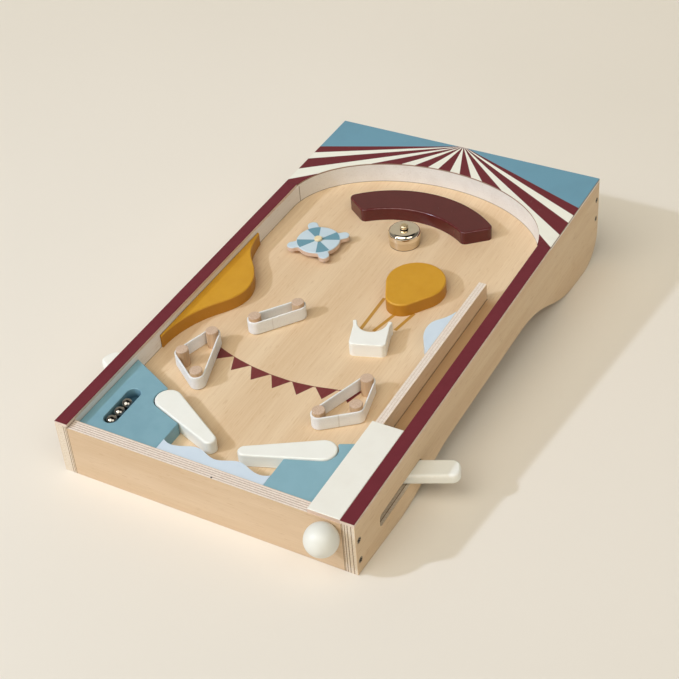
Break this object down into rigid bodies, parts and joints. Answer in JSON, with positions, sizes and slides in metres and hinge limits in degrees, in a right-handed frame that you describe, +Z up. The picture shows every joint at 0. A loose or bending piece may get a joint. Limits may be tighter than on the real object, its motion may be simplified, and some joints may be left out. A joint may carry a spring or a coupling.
{
  "type": "tabletop pinball game",
  "caption": "Wooden tabletop pinball game: sloped case with a sunken playfield, lever flippers, a sprung plunger, a spinner, a bell and banded pegs.",
  "frame": {"origin": "on the table, under the middle of the object's outline seen from above", "axes": "+X to the player's right, +Y from the player towards the raised back, +Z up; the playfield leans by 4.2 degrees"},
  "size_m": [0.3126, 0.475, 0.0828],
  "materials": {
    "plywood": "lacquered plywood",
    "playfield_veneer": "smooth lacquered veneer",
    "pale_veneer": "pale smooth veneer",
    "printed_top": "printed satin board",
    "burgundy_paint": "satin paint on wood",
    "blue_paint": "satin paint on wood",
    "light_blue_paint": "satin paint on wood",
    "spinner_paint": "satin paint on wood",
    "ochre_paint": "satin paint on wood",
    "white_paint": "satin paint on wood",
    "dowel_wood": "plain turned wood",
    "elastic": "smooth elastic",
    "bright_metal": "polished plating",
    "brass_pin": "polished",
    "plain_steel": "plain"
  },
  "bodies": {
    "case": {"arch_bumper": "burgundy_paint", "arch_wall": "pale_veneer", "back_panel": "plywood", "ball_tray_block": "blue_paint", "balloon_block": "ochre_paint", "basket_block": "white_paint", "bell_cup": "bright_metal", "bell_gong": "bright_metal", "bell_pin": "brass_pin", "case_screws": "plain_steel", "drain_wave": "light_blue_paint", "elastic_anchor_pins": "plain_steel", "front_batten": "plywood", "front_panel": "plywood", "lane_bump": "light_blue_paint", "lane_divider": "pale_veneer", "left_batten": "plywood", "left_rail_cap": "printed_top", "left_return_elastic": "elastic", "left_side_panel": "plywood", "left_triangle_band": "elastic", "left_triangle_pegs": "dowel_wood", "left_wall_liner": "pale_veneer", "pair_band": "elastic", "pair_pegs": "dowel_wood", "playfield_board": "playfield_veneer", "plunger_cover": "white_paint", "plunger_spring": "plain_steel", "ramp_block": "ochre_paint", "right_batten": "plywood", "right_corner_block": "blue_paint", "right_rail_cap": "printed_top", "right_return_elastic": "elastic", "right_side_panel": "plywood", "right_triangle_band": "elastic", "right_triangle_pegs": "dowel_wood", "right_wall_liner": "pale_veneer", "spinner_pin": "dowel_wood", "spinner_washer": "dowel_wood", "top_board": "printed_top"},
    "left_flipper": {"left_flipper_blade": "white_paint", "left_flipper_shaft": "dowel_wood", "left_flipper_lever": "white_paint", "left_flipper_washer": "dowel_wood", "left_flipper_screw": "plain_steel", "left_elastic_pin": "plain_steel"},
    "right_flipper": {"right_flipper_blade": "white_paint", "right_flipper_shaft": "dowel_wood", "right_flipper_lever": "white_paint", "right_flipper_washer": "dowel_wood", "right_flipper_screw": "plain_steel", "right_elastic_pin": "plain_steel"},
    "plunger": {"plunger_knob": "white_paint", "plunger_rod": "dowel_wood", "plunger_head": "dowel_wood"},
    "spinner": {"spinner_rotor": "spinner_paint"},
    "loose_ball_1": {"ball_1": "bright_metal"},
    "loose_ball_2": {"ball_2": "bright_metal"},
    "loose_ball_3": {"ball_3": "bright_metal"}
  },
  "joints": [
    {"name": "left_flipper_swing", "type": "hinge", "parent": "case", "child": "left_flipper", "pos_m": [-0.0664, -0.15204, 0.03546], "axis": [0, -0.0732, 0.9973], "range_deg": [0, 42], "stiffness_Nm_per_rad": 0.05, "springref_deg": -17.19, "deforming": ["left_return_elastic"]},
    {"name": "right_flipper_swing", "type": "hinge", "parent": "case", "child": "right_flipper", "pos_m": [0.0664, -0.15204, 0.03546], "axis": [0, 0.0732, -0.9973], "range_deg": [0, 42], "stiffness_Nm_per_rad": 0.05, "springref_deg": -17.19, "deforming": ["right_return_elastic"]},
    {"name": "plunger_pull", "type": "slide", "parent": "case", "child": "plunger", "axis": [0, -0.9973, -0.0732], "range_m": [0, 0.038], "stiffness_N_per_m": 150, "springref_m": -0.01, "deforming": ["plunger_spring"]},
    {"name": "spinner_spin", "type": "hinge", "parent": "case", "child": "spinner", "pos_m": [-0.064, 0.07332, 0.05201], "axis": [0, -0.0732, 0.9973], "continuous": true},
    {"name": "ball_1_lift", "type": "slide", "parent": "case", "child": "loose_ball_1", "axis": [0, -0.0732, 0.9973], "range_m": [0, 0.03]},
    {"name": "ball_2_lift", "type": "slide", "parent": "case", "child": "loose_ball_2", "axis": [0, -0.0732, 0.9973], "range_m": [0, 0.03]},
    {"name": "ball_3_lift", "type": "slide", "parent": "case", "child": "loose_ball_3", "axis": [0, -0.0732, 0.9973], "range_m": [0, 0.03]}
  ]
}
